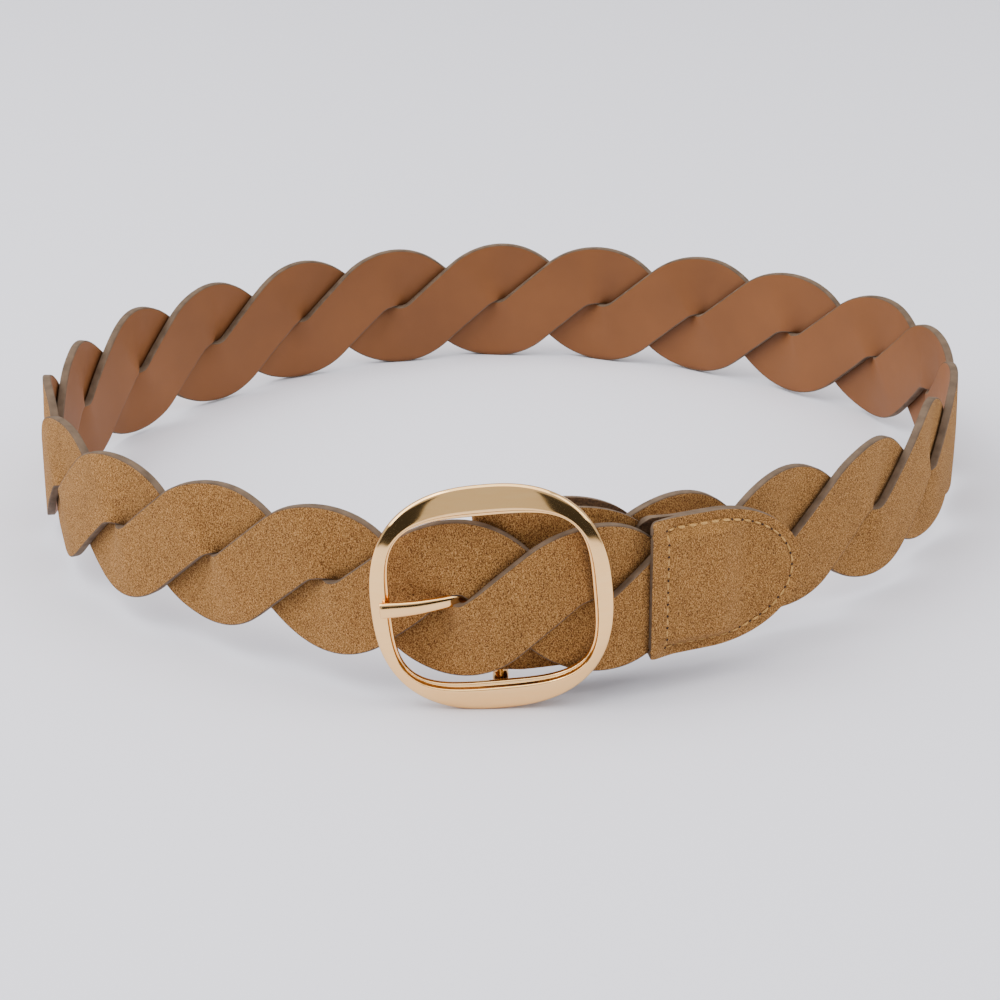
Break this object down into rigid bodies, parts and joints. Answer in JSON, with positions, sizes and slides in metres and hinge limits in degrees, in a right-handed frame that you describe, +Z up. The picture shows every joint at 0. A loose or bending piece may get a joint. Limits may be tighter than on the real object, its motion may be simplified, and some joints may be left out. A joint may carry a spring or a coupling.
{
  "type": "braided belt with centre-bar buckle",
  "caption": "Leather belt braided from wavy suede strips, fastened in a loop by a rounded gold centre-bar buckle, with a stitched tip tab.",
  "frame": {"origin": "middle of the fastened belt's footprint, on the surface it stands on", "axes": "+Z up through the loop the waist goes through, -Y towards the buckle, +X to the wearer's left as seen from the front"},
  "size_m": [0.323, 0.321, 0.0727],
  "materials": {
    "suede": "fine napped camel suede outside, smooth brown lining inside, taupe painted edges",
    "gold_metal": "polished pale champagne gold plating",
    "thread": "tan sewing thread"
  },
  "bodies": {
    "root": {"strand_a": "suede", "strand_b": "suede", "tip_tab": "suede", "buckle_chape": "suede", "buckle_frame": "gold_metal", "prong": "gold_metal"}
  },
  "joints": []
}
